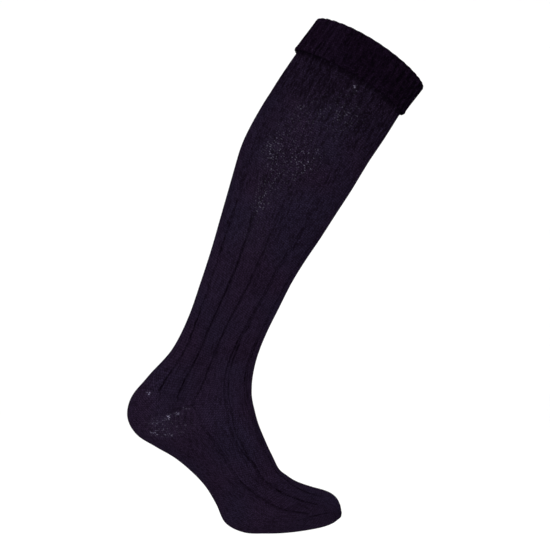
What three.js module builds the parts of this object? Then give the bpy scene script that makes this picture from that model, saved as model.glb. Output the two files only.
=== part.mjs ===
// A knee-high kilt hose sock in ribbed wool with a turned-over cuff, in the shape that it has when worn on
// a leg that steps on the ball of the foot. Millimetres, +Z up, the toes towards +X and the sock's own plane
// of symmetry at Y = 0. The origin is the centre of the leg opening.

import * as THREE from 'three';

// The leg, from its opening down to the ankle's centre
const legLength = 382;
const calfDepth = 126; // front to back
const calfWidth = 118; // side to side
const legLean = THREE.MathUtils.degToRad(27); // the top of the leg leans forward

// The foot, from the ankle's centre to the toe
const footLength = 198;
const footDepth = 134; // heel to the front of the ankle
const footWidth = 90; // across the ball
const footDrop = THREE.MathUtils.degToRad(44); // the foot points down from the ankle

// The knit
const knitWall = 2.4;
const cuffWall = 2.6;
const cuffHeight = 36; // fold to hem
const ribTopHeight = 97; // fold to where the narrow ribs become wide panels
const foldGap = 1.0; // clear space between the turned-down band and the leg
const hemDrop = 3; // height of the hem's swollen edge
const hemRoll = 0.5; // how far it swells
const openingBow = 3.5; // the sides of the opening stand higher than its back and front
const narrowRibDepth = 1.0;
const grooveDepth = 1.4; // between two wide panels, on the lower leg
const grooveWidth = 6.5; // at the calf
const heelCorner = 3.0; // the short side of the heel at the end of its gore
const toeNose = 1.5; // how far the closed toe rounds past its last section
const pieceGap = 0.3;

const panelCount = 12;
const ribsPerPanel = 3;
const narrowRibCount = panelCount * ribsPerPanel;

// Sections down the sock, each one a flattened ring between a point of the back outline and one of the
// front. "Along" is measured down the leg or the foot and "across" towards the front, as shares of the named
// length and depth. Half width is a share of the named width, taper widens the back of a ring, and square is
// the exponent of its outline. The five drift columns say how many degrees each groove of a side, from the
// back one to the front one, drifts to the front. Groove is a share of the groove's depth.
const columns = ['backAlong', 'backAcross', 'frontAlong', 'frontAcross', 'halfWidth', 'taper', 'square',
  'backDrift', 'midBackDrift', 'sideDrift', 'midFrontDrift', 'frontDrift', 'groove'];
const legSections = [
  [-0.016, -0.503, 0.016, 0.495, 0.475, 0.00, 2.0, 2, 4, 4, 3, 2, 0.2],
  [0.078, -0.548, 0.098, 0.451, 0.480, 0.00, 2.0, 3, 5, 5, 4, 3, 0.2],
  [0.161, -0.580, 0.180, 0.428, 0.490, 0.03, 2.0, 5, 7, 7, 6, 4, 0.2],
  [0.239, -0.605, 0.272, 0.397, 0.500, 0.05, 2.0, 6, 8, 8, 8, 5, 0.3],
  [0.315, -0.616, 0.362, 0.377, 0.500, 0.06, 2.0, 8, 9, 8, 10, 7, 0.4],
  [0.381, -0.608, 0.440, 0.352, 0.485, 0.07, 2.0, 10, 10, 8, 11, 8, 0.5],
  [0.445, -0.576, 0.509, 0.329, 0.460, 0.07, 2.0, 11, 11, 8, 11, 8, 0.7],
  [0.513, -0.536, 0.583, 0.303, 0.425, 0.06, 2.0, 12, 12, 9, 10, 7, 0.8],
  [0.590, -0.491, 0.658, 0.287, 0.385, 0.05, 2.0, 12, 14, 10, 7, 5, 1.0],
  [0.674, -0.443, 0.729, 0.285, 0.345, 0.03, 2.0, 11, 14, 8, 5, 3, 1.0],
  [0.766, -0.398, 0.802, 0.288, 0.310, 0.02, 2.0, 11, 11, 4, 1, 1, 1.0],
  [0.864, -0.359, 0.873, 0.309, 0.285, 0.00, 2.0, 11, 7, -1, -5, -3, 1.0],
  [0.967, -0.360, 0.930, 0.350, 0.280, 0.00, 2.0, 15, 8, -1, -5, -2, 1.0],
];
const footSections = [
  [-0.228, -0.286, 0.228, 0.191, 0.375, 0.00, 2.1, 21, 13, 3, 1, 2, 0.9],
  [-0.208, -0.518, 0.266, 0.142, 0.385, 0.00, 2.1, 24, 17, 4, 7, 6, 0.8],
  [-0.152, -0.634, 0.318, 0.091, 0.380, 0.00, 2.1, 20, 14, 7, 8, 9, 0.7],
  [-0.062, -0.675, 0.366, 0.051, 0.375, 0.00, 2.1, 12, 12, 8, 5, 10, 0.7],
  [0.057, -0.642, 0.422, 0.010, 0.375, 0.00, 2.1, 8, 9, 7, 3, 9, 0.8],
  [0.174, -0.600, 0.484, -0.028, 0.385, 0.00, 2.1, 5, 5, 3, 1, 7, 0.9],
  [0.291, -0.585, 0.549, -0.061, 0.400, 0.00, 2.1, 2, 1, -1, 2, 7, 1.0],
  [0.392, -0.593, 0.622, -0.098, 0.420, 0.00, 2.1, 2, 1, -2, 2, 9, 1.0],
  [0.499, -0.632, 0.672, -0.092, 0.450, 0.00, 2.2, 4, 4, 6, 5, 8, 1.0],
  [0.605, -0.686, 0.723, -0.075, 0.480, 0.03, 2.2, 6, 9, 13, 9, 6, 1.0],
  [0.704, -0.640, 0.772, -0.048, 0.500, 0.05, 2.3, 6, 10, 14, 10, 3, 1.0],
  [0.791, -0.526, 0.817, -0.015, 0.500, 0.05, 2.3, 6, 9, 13, 8, 1, 0.9],
  [0.872, -0.400, 0.854, 0.015, 0.490, 0.05, 2.3, 5, 7, 11, 6, -1, 0.8],
  [0.936, -0.285, 0.887, 0.037, 0.465, 0.05, 2.3, 4, 5, 8, 4, 0, 0.5],
  [0.982, -0.185, 0.916, 0.050, 0.430, 0.03, 2.3, 2, 3, 4, 2, 0, 0.0],
  [1.009, -0.103, 0.947, 0.050, 0.375, 0.00, 2.3, 0, 0, 1, 0, 0, 0.0],
  [1.018, -0.046, 0.978, 0.034, 0.290, 0.00, 2.2, 0, 0, 0, 0, 0, 0.0],
  [1.020, -0.024, 0.994, 0.018, 0.200, 0.00, 2.1, 0, 0, 0, 0, 0, 0.0],
];
const sideGrooves = [-60, -30, 0, 30, 60]; // the grooves of a side, in degrees, where they don't drift

// Borders between the pieces, as stations: how many sections down the sock they lie
const borders = {
  heelCorner: 14.1,
  heelTopRise: 0.7, // the heel's upper border is higher at the back
  heelUnderReach: 4.2, // its lower border runs forward under the foot
  heelUnderCurve: 0.45,
  toe: 25.3,
  bowEnd: 3, // the bow of the opening has faded out here
};
const lastStation = legSections.length + footSections.length - 1;

const downLeg = new THREE.Vector3(-Math.sin(legLean), 0, -Math.cos(legLean));
const acrossLeg = new THREE.Vector3(Math.cos(legLean), 0, -Math.sin(legLean));
const alongFoot = new THREE.Vector3(Math.cos(footDrop), 0, -Math.sin(footDrop));
const acrossFoot = new THREE.Vector3(Math.sin(footDrop), 0, Math.cos(footDrop));
const ankle = downLeg.clone().multiplyScalar(legLength);

// Turns the rows of a table into sections at their real place and size.
function placeSections(rows, start, along, length, across, depth, width) {
  return rows.map((row) => {
    const share = Object.fromEntries(columns.map((name, index) => [name, row[index]]));
    const place = (down, over) => start.clone()
      .addScaledVector(along, down * length)
      .addScaledVector(across, over * depth);
    return {
      back: place(share.backAlong, share.backAcross),
      front: place(share.frontAlong, share.frontAcross),
      form: new THREE.Vector3(share.halfWidth * width, share.taper, share.square),
      backDrifts: new THREE.Vector3(share.backDrift, share.midBackDrift, share.sideDrift),
      frontDrifts: new THREE.Vector3(share.midFrontDrift, share.frontDrift, share.groove),
    };
  });
}

const opening = new THREE.Vector3();
const sections = [
  ...placeSections(legSections, opening, downLeg, legLength, acrossLeg, calfDepth, calfWidth),
  ...placeSections(footSections, ankle, alongFoot, footLength, acrossFoot, footDepth, footWidth),
];
const lineOf = (name, kind) => new THREE.CatmullRomCurve3(sections.map((one) => one[name]), false, kind);
const backLine = lineOf('back', 'centripetal');
const frontLine = lineOf('front', 'centripetal');
const formLine = lineOf('form', 'catmullrom');
const backDriftLine = lineOf('backDrifts', 'catmullrom');
const frontDriftLine = lineOf('frontDrifts', 'catmullrom');

// How much of a groove's drift the stitches at an angle share: all of it at the groove, and none at the
// other grooves of the side and at the middle of the front and back. The far side mirrors the near side.
function carried(angle, groove) {
  const fromBack = THREE.MathUtils.degToRad(angle + 90);
  const grooveFromBack = THREE.MathUtils.degToRad(groove + 90);
  let sum = 0;
  for (let wave = 1; wave <= sideGrooves.length; wave += 1) {
    sum += Math.sin(wave * fromBack) * Math.sin(wave * grooveFromBack);
  }
  return (2 * sum) / (sideGrooves.length + 1);
}

// Degrees that the stitches at an angle drift to the front.
function driftAt(share, angle) {
  const back = backDriftLine.getPoint(share);
  const front = frontDriftLine.getPoint(share);
  const drifts = [back.x, back.y, back.z, front.x, front.y];
  return drifts.reduce((sum, drift, index) => sum + drift * carried(angle, sideGrooves[index]), 0);
}

// The outer skin at a station and at an angle round it: 0 is the middle of the near side, 90 the front,
// 180 the far side and -90 the back.
function skin(station, angle) {
  const share = THREE.MathUtils.clamp(station / lastStation, 0, 1);
  const back = backLine.getPoint(share);
  const front = frontLine.getPoint(share);
  const form = formLine.getPoint(share);
  const turn = THREE.MathUtils.degToRad(angle + driftAt(share, angle));
  const sine = Math.sin(turn);
  const cosine = Math.cos(turn);
  const reach = (Math.abs(sine) ** form.z + Math.abs(cosine) ** form.z) ** (-1 / form.z);
  const depthShare = reach * sine;
  const widthShare = reach * cosine * (1 - form.y * depthShare);
  const centre = back.clone().add(front).multiplyScalar(0.5);
  const halfDepth = front.sub(back).multiplyScalar(0.5);
  const bowShare = Math.max(0, 1 - station / borders.bowEnd) ** 2 * cosine ** 2;
  return centre.addScaledVector(halfDepth, depthShare)
    .addScaledVector(downLeg, -openingBow * bowShare)
    .setY(-form.x * widthShare);
}

// Directions on the skin: down the sock, round it, and out of it.
function directions(station, angle) {
  const stationStep = 0.02;
  const angleStep = 0.5;
  const before = Math.max(station - stationStep, 0);
  const after = Math.min(station + stationStep, lastStation);
  const down = skin(after, angle).sub(skin(before, angle));
  const round = skin(station, angle + angleStep).sub(skin(station, angle - angleStep));
  const speed = down.length() / (after - before);
  down.normalize();
  round.normalize();
  const out = down.clone().cross(round).normalize();
  return { down, round, out, speed };
}

// A point at a height above the skin, or below it where the height is negative.
function onSkin(station, angle, height) {
  return skin(station, angle).addScaledVector(directions(station, angle).out, height);
}

// The station at which the middle of the sock lies a given length below the opening.
function stationBelow(length) {
  const middle = (station) => skin(station, 90).add(skin(station, -90)).multiplyScalar(0.5);
  const step = 0.01;
  let station = 0;
  let run = 0;
  while (run < length && station < lastStation) {
    run += middle(station + step).distanceTo(middle(station));
    station += step;
  }
  return station;
}

const hemStation = stationBelow(cuffHeight);
const panelStation = stationBelow(ribTopHeight);

// Angles of a wide panel's groove, its two shoulders and its middle, for every panel in a range.
const panelPitch = 360 / panelCount;
const grooveHalfAngle = THREE.MathUtils.radToDeg(grooveWidth / calfWidth);

function panelAngles(from, to) {
  const angles = [];
  for (let groove = from; groove < to; groove += panelPitch) {
    angles.push(groove, groove + grooveHalfAngle, groove + panelPitch / 2);
    angles.push(groove + panelPitch - grooveHalfAngle);
  }
  return angles;
}

function evenAngles(from, to, count) {
  return Array.from({ length: count }, (_, index) => from + ((to - from) * index) / count);
}

// Height of the ribbed skin: a V-shaped groove at each border of two wide panels.
function panelHeight(station, angle) {
  const fromGroove = Math.abs(angle / panelPitch - Math.round(angle / panelPitch)) * panelPitch;
  const depthShare = frontDriftLine.getPoint(station / lastStation).z;
  return -grooveDepth * depthShare * Math.max(0, 1 - fromGroove / grooveHalfAngle);
}

// Height of the narrow ribs, which rise and fall once in each rib.
function narrowRibHeight(station, angle) {
  return -narrowRibDepth * (0.5 - 0.5 * Math.cos(THREE.MathUtils.degToRad(angle * narrowRibCount)));
}

// The plain knit follows the ribbed edge that it meets only along the sides.
function plainHeight(station, angle) {
  const fromSide = Math.abs(Math.sin(THREE.MathUtils.degToRad(angle)));
  const nearSide = Math.sin(THREE.MathUtils.degToRad(grooveHalfAngle));
  return panelHeight(station, 0) * Math.max(0, 1 - fromSide / nearSide);
}

// Borders of the heel at an angle from -180 to 0.
const backShare = (angle) => Math.max(0, -Math.sin(THREE.MathUtils.degToRad(angle)));
const heelTop = (angle) => borders.heelCorner - borders.heelTopRise * backShare(angle);
const heelSideStations = heelCorner / directions(borders.heelCorner, 0).speed;
const heelUnder = (angle) => borders.heelCorner + heelSideStations
  + borders.heelUnderReach * backShare(angle) ** borders.heelUnderCurve;

// Joins grids of points into one closed solid. A grid's rows run down the sock and its columns round it.
class Solid {
  constructor() {
    this.points = [];
    this.faces = [];
  }

  addPoint(point) {
    this.points.push(point.x, point.y, point.z);
    return this.points.length / 3 - 1;
  }

  addGrid(grid) {
    return grid.map((row) => row.map((point) => this.addPoint(point)));
  }

  addQuad(first, second, third, fourth) {
    this.faces.push(first, second, third, first, third, fourth);
  }

  // Quads between two rows of point numbers, facing along "down times round".
  addStrip(upper, lower, isRound) {
    const count = isRound ? upper.length : upper.length - 1;
    for (let column = 0; column < count; column += 1) {
      const next = (column + 1) % upper.length;
      this.addQuad(upper[column], lower[column], lower[next], upper[next]);
    }
  }

  toMesh(name, material) {
    const geometry = new THREE.BufferGeometry();
    geometry.setAttribute('position', new THREE.Float32BufferAttribute(this.points, 3));
    geometry.setIndex(this.faces);
    geometry.computeVertexNormals();
    const mesh = new THREE.Mesh(geometry, material);
    mesh.name = name;
    return mesh;
  }
}

// Outer and inner points of a knitted piece. The rows run from the top border to the bottom border, and the
// edges keep half the gap to the next piece, measured square to the border within the skin.
function knitGrids({ top, bottom, rows, angles, height, wall, isRound }) {
  const outer = [];
  const inner = [];
  for (let row = 0; row <= rows; row += 1) {
    const stationAt = (angle) => THREE.MathUtils.lerp(top(angle), bottom(angle), row / rows);
    const outerRow = [];
    const innerRow = [];
    angles.forEach((angle, column) => {
      const station = stationAt(angle);
      const { round, out } = directions(station, angle);
      const shift = new THREE.Vector3();
      if (row === 0 || row === rows) {
        const borderStep = 1;
        const ahead = skin(stationAt(angle + borderStep), angle + borderStep);
        const behind = skin(stationAt(angle - borderStep), angle - borderStep);
        const acrossBorder = ahead.sub(behind).normalize().cross(out).normalize();
        shift.addScaledVector(acrossBorder, row === 0 ? pieceGap / 2 : -pieceGap / 2);
      }
      if (!isRound && column === 0) shift.addScaledVector(round, pieceGap / 2);
      if (!isRound && column === angles.length - 1) shift.addScaledVector(round, -pieceGap / 2);
      const point = skin(station, angle).add(shift);
      outerRow.push(point.clone().addScaledVector(out, height(station, angle)));
      innerRow.push(point.addScaledVector(out, -wall));
    });
    outer.push(outerRow);
    inner.push(innerRow);
  }
  return { outer, inner };
}

// A wall of knit that is open at its top and bottom: a tube if it is round, or else half of one.
function knitWallMesh(name, material, options) {
  const { outer, inner } = knitGrids(options);
  const solid = new Solid();
  const outside = solid.addGrid(outer);
  const inside = solid.addGrid(inner);
  const { isRound } = options;
  for (let row = 0; row < outside.length - 1; row += 1) {
    solid.addStrip(outside[row], outside[row + 1], isRound);
    solid.addStrip(inside[row + 1], inside[row], isRound);
  }
  solid.addStrip(inside[0], outside[0], isRound);
  solid.addStrip(outside.at(-1), inside.at(-1), isRound);
  if (!isRound) {
    const last = options.angles.length - 1;
    for (let row = 0; row < outside.length - 1; row += 1) {
      const below = row + 1;
      solid.addQuad(outside[row][0], inside[row][0], inside[below][0], outside[below][0]);
      solid.addQuad(outside[row][last], outside[below][last], inside[below][last], inside[row][last]);
    }
  }
  return solid.toMesh(name, material);
}

// The toe is a cup: a round wall of knit whose last row closes on a nose.
function toeMesh(name, material, options) {
  const { outer, inner } = knitGrids({ ...options, isRound: true });
  const solid = new Solid();
  const outside = solid.addGrid(outer);
  const inside = solid.addGrid(inner);
  for (let row = 0; row < outside.length - 1; row += 1) {
    solid.addStrip(outside[row], outside[row + 1], true);
    solid.addStrip(inside[row + 1], inside[row], true);
  }
  solid.addStrip(inside[0], outside[0], true);
  const before = skin(lastStation - 1, 90).add(skin(lastStation - 1, -90)).multiplyScalar(0.5);
  const end = skin(lastStation, 90).add(skin(lastStation, -90)).multiplyScalar(0.5);
  const forward = end.clone().sub(before).normalize();
  const nose = end.addScaledVector(forward, toeNose);
  const outerNose = solid.addPoint(nose);
  const innerNose = solid.addPoint(nose.clone().addScaledVector(forward, -options.wall));
  const count = options.angles.length;
  for (let column = 0; column < count; column += 1) {
    const next = (column + 1) % count;
    solid.faces.push(outside.at(-1)[column], outerNose, outside.at(-1)[next]);
    solid.faces.push(inside.at(-1)[column], inside.at(-1)[next], innerNose);
  }
  return solid.toMesh(name, material);
}

// The cuff is the leg's own knit folded out and down: a hook-shaped profile carried round the opening. It
// starts face to face with the upper edge of the narrow-rib leg, rounds over the fold, comes down outside
// the leg with a small clear space, and ends in a rolled hem.
function cuffMesh(name, material, angles) {
  const foldRadius = foldGap / 2;
  const outerFoldSteps = 4;
  const smoothFoldSteps = 2; // the part of the fold next to the opening has no ribs
  const innerFoldSteps = 2;
  const flapSteps = 2;
  const hemShare = 1 - hemDrop / cuffHeight;
  const hemRibShare = 0.6;
  const hemEdge = { outerShare: 0.75, innerShare: 0.15 }; // of the wall, where the hem's round end is flat
  const profile = [];
  const flap = (share, height, ribShare) => profile.push({
    station: hemStation * share,
    height,
    lift: 0,
    ribShare,
  });
  const fold = (turn, radius, ribShare) => profile.push({
    station: 0,
    height: foldRadius + radius * Math.cos(turn),
    lift: radius * Math.sin(turn),
    ribShare,
  });
  for (let step = outerFoldSteps; step >= 0; step -= 1) {
    const ribShare = outerFoldSteps - step < smoothFoldSteps ? 0 : 1;
    fold((Math.PI * step) / outerFoldSteps, foldRadius + cuffWall, ribShare);
  }
  for (let step = 1; step <= flapSteps; step += 1) {
    flap((hemShare * step) / flapSteps, foldGap + cuffWall, 1);
  }
  flap((1 + hemShare) / 2, foldGap + cuffWall + hemRoll, hemRibShare);
  flap(1, foldGap + cuffWall * hemEdge.outerShare, 0);
  flap(1, foldGap + cuffWall * hemEdge.innerShare, 0);
  for (let step = flapSteps; step >= 1; step -= 1) {
    flap((hemShare * step) / flapSteps, foldGap, 0);
  }
  for (let step = 0; step <= innerFoldSteps; step += 1) {
    fold((Math.PI * step) / innerFoldSteps, foldRadius, 0);
  }

  const solid = new Solid();
  const rings = profile.map(({ station, height, lift, ribShare }) => angles.map((angle) => {
    const { down } = directions(0, angle);
    const ribs = narrowRibHeight(station, angle) * ribShare;
    return solid.addPoint(onSkin(station, angle, height + ribs).addScaledVector(down, -lift - pieceGap / 2));
  }));
  rings.forEach((ring, index) => solid.addStrip(ring, rings[(index + 1) % rings.length], true));
  return solid.toMesh(name, material);
}

function woolMaterial(colour) {
  return new THREE.MeshStandardMaterial({ color: colour, roughness: 0.95, metalness: 0 });
}

const cuffWool = woolMaterial('#130d18');
const legWool = woolMaterial('#1e1925');
const plainWool = woolMaterial('#1f1a26');

const narrowRibAngles = evenAngles(0, 360, 2 * narrowRibCount);
const roundPanelAngles = panelAngles(0, 360);
const insetPanelAngles = [...panelAngles(0, 180), 180];
const plainColumns = 20;
const underAngles = [...evenAngles(-180, 0, plainColumns), 0];

const sock = new THREE.Group();

sock.add(cuffMesh('turnover_cuff', cuffWool, narrowRibAngles));

sock.add(knitWallMesh('rib_top', legWool, {
  top: () => 0,
  bottom: () => panelStation,
  rows: 4,
  angles: narrowRibAngles,
  height: narrowRibHeight,
  wall: cuffWall,
  isRound: true,
}));

sock.add(knitWallMesh('leg', legWool, {
  top: () => panelStation,
  bottom: heelTop,
  rows: 18,
  angles: roundPanelAngles,
  height: panelHeight,
  wall: knitWall,
  isRound: true,
}));

sock.add(knitWallMesh('heel', plainWool, {
  top: heelTop,
  bottom: heelUnder,
  rows: 9,
  angles: underAngles,
  height: plainHeight,
  wall: knitWall,
  isRound: false,
}));

sock.add(knitWallMesh('instep', legWool, {
  top: () => borders.heelCorner,
  bottom: () => borders.toe,
  rows: 14,
  angles: insetPanelAngles,
  height: panelHeight,
  wall: knitWall,
  isRound: false,
}));

sock.add(knitWallMesh('sole', plainWool, {
  top: heelUnder,
  bottom: () => borders.toe,
  rows: 14,
  angles: underAngles,
  height: plainHeight,
  wall: knitWall,
  isRound: false,
}));

sock.add(toeMesh('toe', plainWool, {
  top: () => borders.toe,
  bottom: () => lastStation,
  rows: 7,
  angles: evenAngles(0, 360, 24),
  height: () => 0,
  wall: knitWall,
}));

export default sock;
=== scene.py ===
"""Kilt hose sock: the knitted surfaces, wool, floor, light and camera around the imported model."""

import bpy
import numpy as np
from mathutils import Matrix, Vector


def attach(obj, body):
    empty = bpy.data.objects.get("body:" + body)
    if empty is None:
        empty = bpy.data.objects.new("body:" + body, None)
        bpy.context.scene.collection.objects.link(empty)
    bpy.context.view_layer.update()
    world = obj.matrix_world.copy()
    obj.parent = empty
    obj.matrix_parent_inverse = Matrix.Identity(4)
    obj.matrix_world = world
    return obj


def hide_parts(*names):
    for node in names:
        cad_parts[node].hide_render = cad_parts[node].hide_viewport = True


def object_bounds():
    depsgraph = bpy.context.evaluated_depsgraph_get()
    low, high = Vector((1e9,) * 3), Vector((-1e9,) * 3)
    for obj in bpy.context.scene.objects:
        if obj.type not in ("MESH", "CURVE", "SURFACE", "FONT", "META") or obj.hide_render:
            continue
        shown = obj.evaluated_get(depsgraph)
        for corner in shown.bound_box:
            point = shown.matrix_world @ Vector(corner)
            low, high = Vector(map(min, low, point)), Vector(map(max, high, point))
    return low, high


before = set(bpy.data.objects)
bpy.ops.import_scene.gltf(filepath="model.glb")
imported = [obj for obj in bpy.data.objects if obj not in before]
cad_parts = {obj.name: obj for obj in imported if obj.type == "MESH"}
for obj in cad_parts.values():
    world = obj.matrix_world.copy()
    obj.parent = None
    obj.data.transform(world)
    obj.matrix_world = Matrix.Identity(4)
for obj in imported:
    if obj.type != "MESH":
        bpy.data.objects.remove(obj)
cad_low, cad_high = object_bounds()

MM = 0.001

# Driving sizes in millimetres and degrees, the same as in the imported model
LEG_LENGTH, CALF_DEPTH, CALF_WIDTH, LEG_LEAN = 382.0, 126.0, 118.0, 27.0
FOOT_LENGTH, FOOT_DEPTH, FOOT_WIDTH, FOOT_DROP = 198.0, 134.0, 90.0, 44.0
KNIT_WALL, CUFF_WALL, FOLD_GAP, HEM_ROLL = 2.4, 2.6, 1.0, 0.5
CUFF_HEIGHT, RIB_TOP_HEIGHT, TOE_NOSE, OPENING_BOW = 36.0, 97.0, 1.5, 3.5

# The knit is 144 lengthwise rows of stitches round, called wales: twelve wide panels, or thirty-six
# narrow ribs. A course is one stitch along the sock, drawn 2.3 mm tall where a real one is nearer 2 mm.
PANEL_COUNT, RIBS_PER_PANEL, WALES_PER_RIB = 12, 3, 4
RIB_COUNT = PANEL_COUNT * RIBS_PER_PANEL
WALE_COUNT = RIB_COUNT * WALES_PER_RIB
PANEL_PITCH = 360 / PANEL_COUNT
COURSE_HEIGHT = 2.3

# The outer skin has four points to a wale, and this many rows of points down each piece, 1 to 2 mm
# apart or closer. The inner skin has every fourth point of the outer one, both ways.
POINTS_PER_WALE, INNER_STEP = 4, 4
ROWS = {"rib_top": 80, "leg": 152, "heel": 72, "instep": 120, "sole": 100, "toe": 44}

# Real sizes in mm of a tuft of fibres on the yarn, of a patch that took the dye a little darker or
# lighter, and of one that is a little bluer. The other patterns are sized in stitches.
TUFT, TONE_PATCH, HUE_PATCH = 1.4, 33.0, 50.0

# Relief in mm: the leg's ribs and the cuff's, the depth at which a valley has its full painted shade,
# wales, hills and hollows, the strands of a stitch, the pucker along the heel's gore, the ridge and
# the slanted bars below it, and the toe's crease
RIB_DEPTH, CUFF_RIB_DEPTH, VALLEY_DEPTH = 1.1, 1.3, 1.2
WALE_RELIEF, UNEVENNESS, STRAND_RELIEF = 0.25, 0.22, 0.5
GORE_PUCKER, GORE_RIDGE, SLANTED_BARS, TOE_CREASE = 1.2, 0.7, 0.8, 1.2

# Sections down the sock, numbered as stations. Along and across place a point of the back and of the
# front outline, as shares of the leg's or the foot's length and depth. Then come the half width, as a
# share of the calf's or the foot's width, how much wider the back is, and the exponent of the outline.
# The last five are the degrees that each groove of a side drifts to the front.
LEG_SECTIONS = [
    (-0.016, -0.503, 0.016, 0.495, 0.475, 0.00, 2.0, 2, 4, 4, 3, 2),
    (0.078, -0.548, 0.098, 0.451, 0.480, 0.00, 2.0, 3, 5, 5, 4, 3),
    (0.161, -0.580, 0.180, 0.428, 0.490, 0.03, 2.0, 5, 7, 7, 6, 4),
    (0.239, -0.605, 0.272, 0.397, 0.500, 0.05, 2.0, 6, 8, 8, 8, 5),
    (0.315, -0.616, 0.362, 0.377, 0.500, 0.06, 2.0, 8, 9, 8, 10, 7),
    (0.381, -0.608, 0.440, 0.352, 0.485, 0.07, 2.0, 10, 10, 8, 11, 8),
    (0.445, -0.576, 0.509, 0.329, 0.460, 0.07, 2.0, 11, 11, 8, 11, 8),
    (0.513, -0.536, 0.583, 0.303, 0.425, 0.06, 2.0, 12, 12, 9, 10, 7),
    (0.590, -0.491, 0.658, 0.287, 0.385, 0.05, 2.0, 12, 14, 10, 7, 5),
    (0.674, -0.443, 0.729, 0.285, 0.345, 0.03, 2.0, 11, 14, 8, 5, 3),
    (0.766, -0.398, 0.802, 0.288, 0.310, 0.02, 2.0, 11, 11, 4, 1, 1),
    (0.864, -0.359, 0.873, 0.309, 0.285, 0.00, 2.0, 11, 7, -1, -5, -3),
    (0.967, -0.360, 0.930, 0.350, 0.280, 0.00, 2.0, 15, 8, -1, -5, -2),
]
FOOT_SECTIONS = [
    (-0.228, -0.286, 0.228, 0.191, 0.375, 0.00, 2.1, 21, 13, 3, 1, 2),
    (-0.208, -0.518, 0.266, 0.142, 0.385, 0.00, 2.1, 24, 17, 4, 7, 6),
    (-0.152, -0.634, 0.318, 0.091, 0.380, 0.00, 2.1, 20, 14, 7, 8, 9),
    (-0.062, -0.675, 0.366, 0.051, 0.375, 0.00, 2.1, 12, 12, 8, 5, 10),
    (0.057, -0.642, 0.422, 0.010, 0.375, 0.00, 2.1, 8, 9, 7, 3, 9),
    (0.174, -0.600, 0.484, -0.028, 0.385, 0.00, 2.1, 5, 5, 3, 1, 7),
    (0.291, -0.585, 0.549, -0.061, 0.400, 0.00, 2.1, 2, 1, -1, 2, 7),
    (0.392, -0.593, 0.622, -0.098, 0.420, 0.00, 2.1, 2, 1, -2, 2, 9),
    (0.499, -0.632, 0.672, -0.092, 0.450, 0.00, 2.2, 4, 4, 6, 5, 8),
    (0.605, -0.686, 0.723, -0.075, 0.480, 0.03, 2.2, 6, 9, 13, 9, 6),
    (0.704, -0.640, 0.772, -0.048, 0.500, 0.05, 2.3, 6, 10, 14, 10, 3),
    (0.791, -0.526, 0.817, -0.015, 0.500, 0.05, 2.3, 6, 9, 13, 8, 1),
    (0.872, -0.400, 0.854, 0.015, 0.490, 0.05, 2.3, 5, 7, 11, 6, -1),
    (0.936, -0.285, 0.887, 0.037, 0.465, 0.05, 2.3, 4, 5, 8, 4, 0),
    (0.982, -0.185, 0.916, 0.050, 0.430, 0.03, 2.3, 2, 3, 4, 2, 0),
    (1.009, -0.103, 0.947, 0.050, 0.375, 0.00, 2.3, 0, 0, 1, 0, 0),
    (1.018, -0.046, 0.978, 0.034, 0.290, 0.00, 2.2, 0, 0, 0, 0, 0),
    (1.020, -0.024, 0.994, 0.018, 0.200, 0.00, 2.1, 0, 0, 0, 0, 0),
]
GROOVE_ANGLES = (-60, -30, 0, 30, 60)
LAST_STATION = len(LEG_SECTIONS) + len(FOOT_SECTIONS) - 1
SECTION_STEP = 0.02  # between the stations at which lengths and directions are measured

# Borders in stations: the heel's corner, how tall the heel is there, how far its upper border rises
# and its lower one reaches at the back, the lower one's curve, and where the toe begins
HEEL_CORNER, HEEL_CORNER_SIDE, HEEL_TOP_RISE = 14.1, 0.196, 0.7
HEEL_UNDER_REACH, HEEL_UNDER_CURVE, TOE_BORDER = 4.2, 0.45, 25.3

# Fades in stations: how far the grooves run on into the heel, over how much they and the foot's ribs
# end, how far above their border the panels begin and over how much, and where the opening's bow ends
GROOVE_REACH, GROOVE_FADE, TOE_FADE = 0.24, 0.45, 0.35
WIDE_START, WIDE_FADE, BOW_END = 0.9, 1.1, 3.0

# The groove between two wide panels in mm, by station. Its two purl columns lie close together where
# the knit is slack, as one dark line, and part where it is stretched, with a plain one between them.
GROOVE_COLUMNS = (
    "station", "back_depth", "front_depth", "line_width", "back_spread", "front_spread", "crown",
)
GROOVES = np.array([
    (3.0, 0.35, 0.35, 3.2, 1.8, 1.8, 0.10),
    (5.0, 0.50, 0.40, 2.8, 1.8, 1.8, 0.20),
    (6.5, 1.00, 0.70, 2.2, 0.9, 1.8, 0.35),
    (8.0, 1.60, 0.90, 1.8, 0.3, 1.5, 0.50),
    (10.0, 1.80, 1.50, 1.7, 0.0, 1.0, 0.60),
    (11.5, 1.80, 1.40, 1.7, 0.0, 1.8, 0.55),
    (13.0, 1.60, 1.20, 1.6, 0.0, 2.4, 0.45),
    (13.9, 1.20, 1.20, 1.5, 0.3, 2.5, 0.40),
    (14.6, 0.70, 1.10, 1.4, 2.2, 2.5, 0.25),
    (17.5, 0.80, 1.40, 1.6, 2.5, 2.0, 0.25),
    (19.0, 0.80, 1.70, 1.8, 2.0, 0.5, 0.40),
    (21.0, 1.10, 2.30, 1.9, 0.8, 0.0, 0.50),
    (24.0, 1.10, 2.30, 1.9, 0.3, 0.0, 0.50),
    (25.3, 0.90, 1.80, 1.8, 0.3, 0.0, 0.40),
]).T
CROWN_REACH = 3.5  # mm from a groove over which a panel swells
SIDE_SHALLOWER = 0.35  # how much of its depth a groove has lost at the middle of the side
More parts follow.
